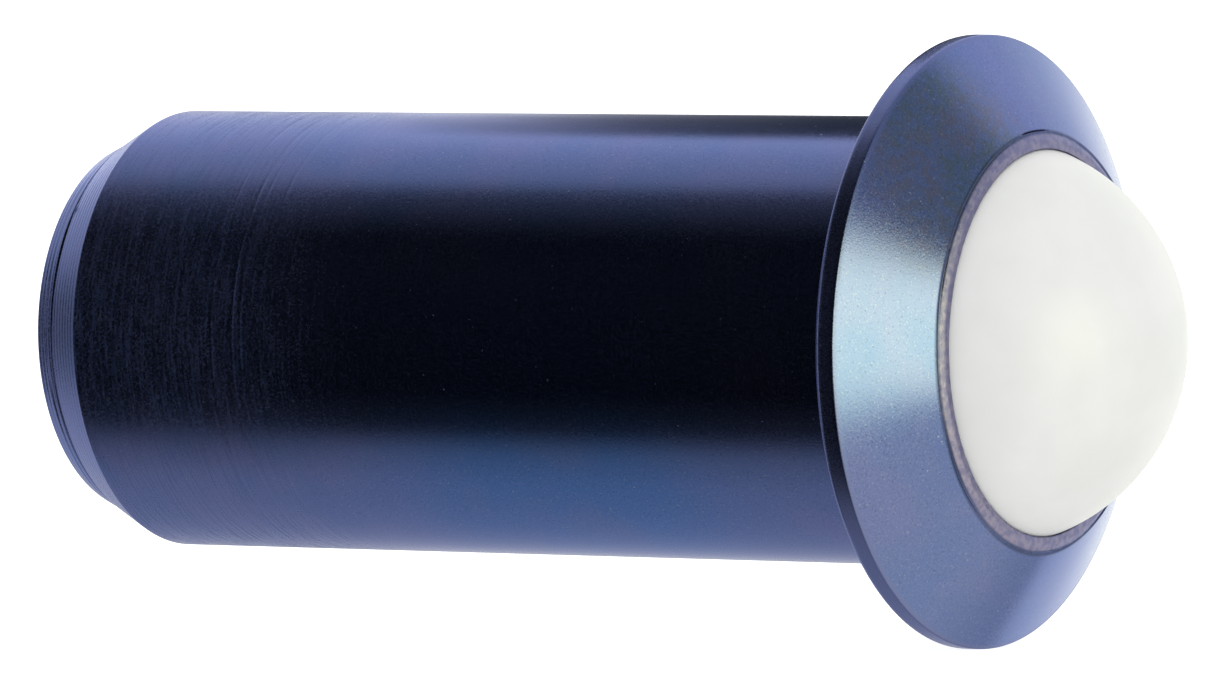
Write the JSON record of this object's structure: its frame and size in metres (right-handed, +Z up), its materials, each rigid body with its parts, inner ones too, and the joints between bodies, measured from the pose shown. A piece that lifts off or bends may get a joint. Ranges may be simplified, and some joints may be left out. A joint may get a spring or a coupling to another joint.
{
  "type": "press-fit ball plunger",
  "caption": "Flanged press-fit ball plunger: a steel housing with a spring-loaded plastic ball that holds a door, gate or hatch at its stop.",
  "frame": {"origin": "on the plunger's axis, in the plane of the flange's back face, which seats on the surface around the hole", "axes": "+X along the axis towards the ball, -X along the shank into its hole, +Z up; the housing is round, so Y and Z are alike"},
  "size_m": [0.0258, 0.013, 0.013],
  "materials": {
    "black_oxide_steel": "blue-black oxide on fine turning marks, satin to glossy",
    "spring_steel": "bright drawn wire, lightly oiled",
    "white_acetal": "smooth, softly glossy moulded and ground plastic"
  },
  "bodies": {
    "housing": {"housing": "black_oxide_steel"},
    "spring": {"spring": "spring_steel"},
    "ball": {"ball": "white_acetal"}
  },
  "joints": [
    {"name": "ball_press", "type": "slide", "parent": "housing", "child": "spring", "axis": [-1, 0, 0], "range_m": [0, 0.0027], "stiffness_N_per_m": 3400, "springref_m": -0.004, "deforming": ["spring"]},
    {"name": "ball_roll", "type": "hinge", "parent": "spring", "child": "ball", "pos_m": [0.00026, 0, 0], "axis": [0, 1, 0], "continuous": true}
  ]
}
